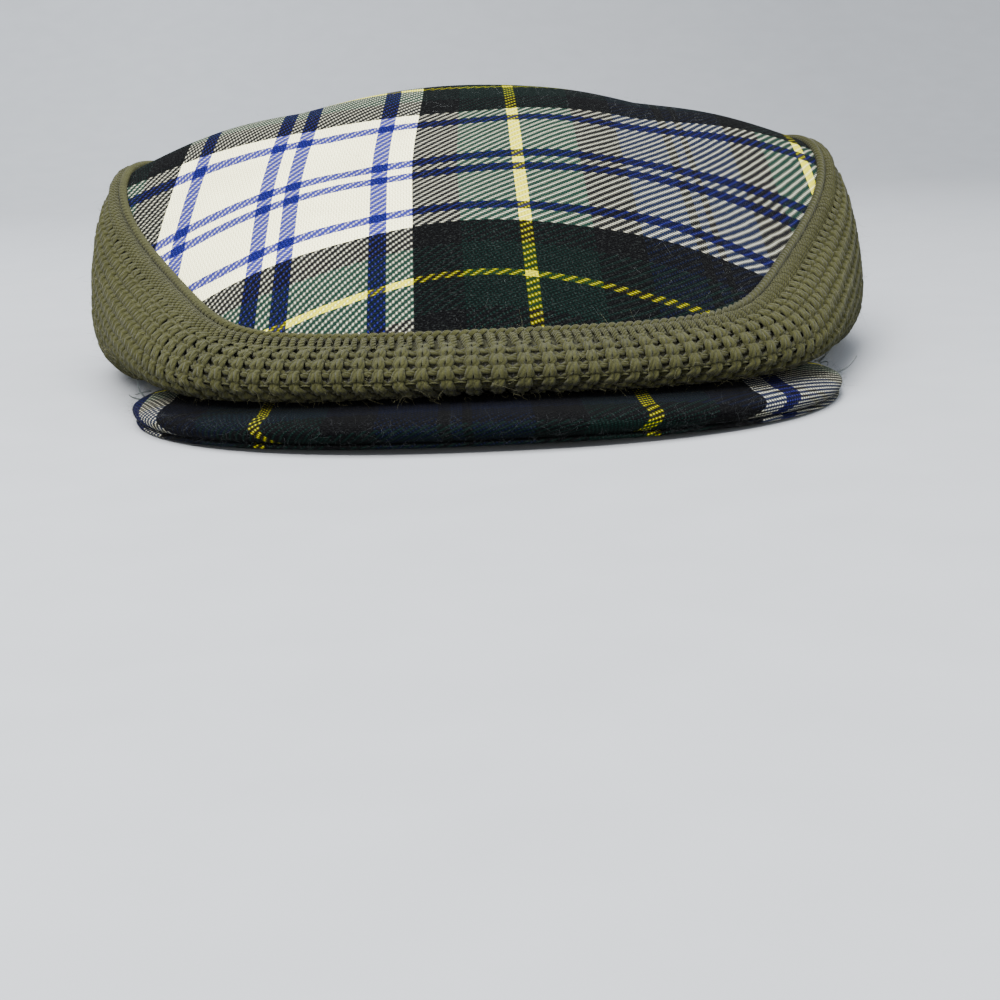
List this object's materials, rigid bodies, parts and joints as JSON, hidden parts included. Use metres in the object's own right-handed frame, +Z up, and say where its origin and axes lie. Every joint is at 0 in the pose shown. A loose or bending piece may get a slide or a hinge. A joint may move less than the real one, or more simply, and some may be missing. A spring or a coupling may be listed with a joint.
{
  "type": "flat cap",
  "caption": "Soft flat cap with a tartan cloth crown panel, a ribbed olive knit side band that turns under at the head opening, and a short cloth-covered peak.",
  "frame": {"origin": "on the surface that the cap rests on, under the middle of its length and width", "axes": "+Z up, -Y out of the peak, +X to the right as seen from the front"},
  "size_m": [0.245, 0.283, 0.086],
  "materials": {
    "tartan_twill": "wool twill woven in a cream, green, navy, black, royal blue and yellow tartan, slightly brushed",
    "olive_knit": "thick olive wool in a round rib, matt and fuzzy",
    "olive_edge": "olive wool chain edge, matt",
    "dark_tartan_twill": "the tartan's dark green and navy part over a stiff board, matt",
    "underside_cloth": "thin tartan cloth, matt"
  },
  "bodies": {
    "root": {"crown_panel": "tartan_twill", "knit_band": "olive_knit", "seam_edging": "olive_edge", "peak": "dark_tartan_twill", "peak_underside": "underside_cloth"}
  },
  "joints": []
}
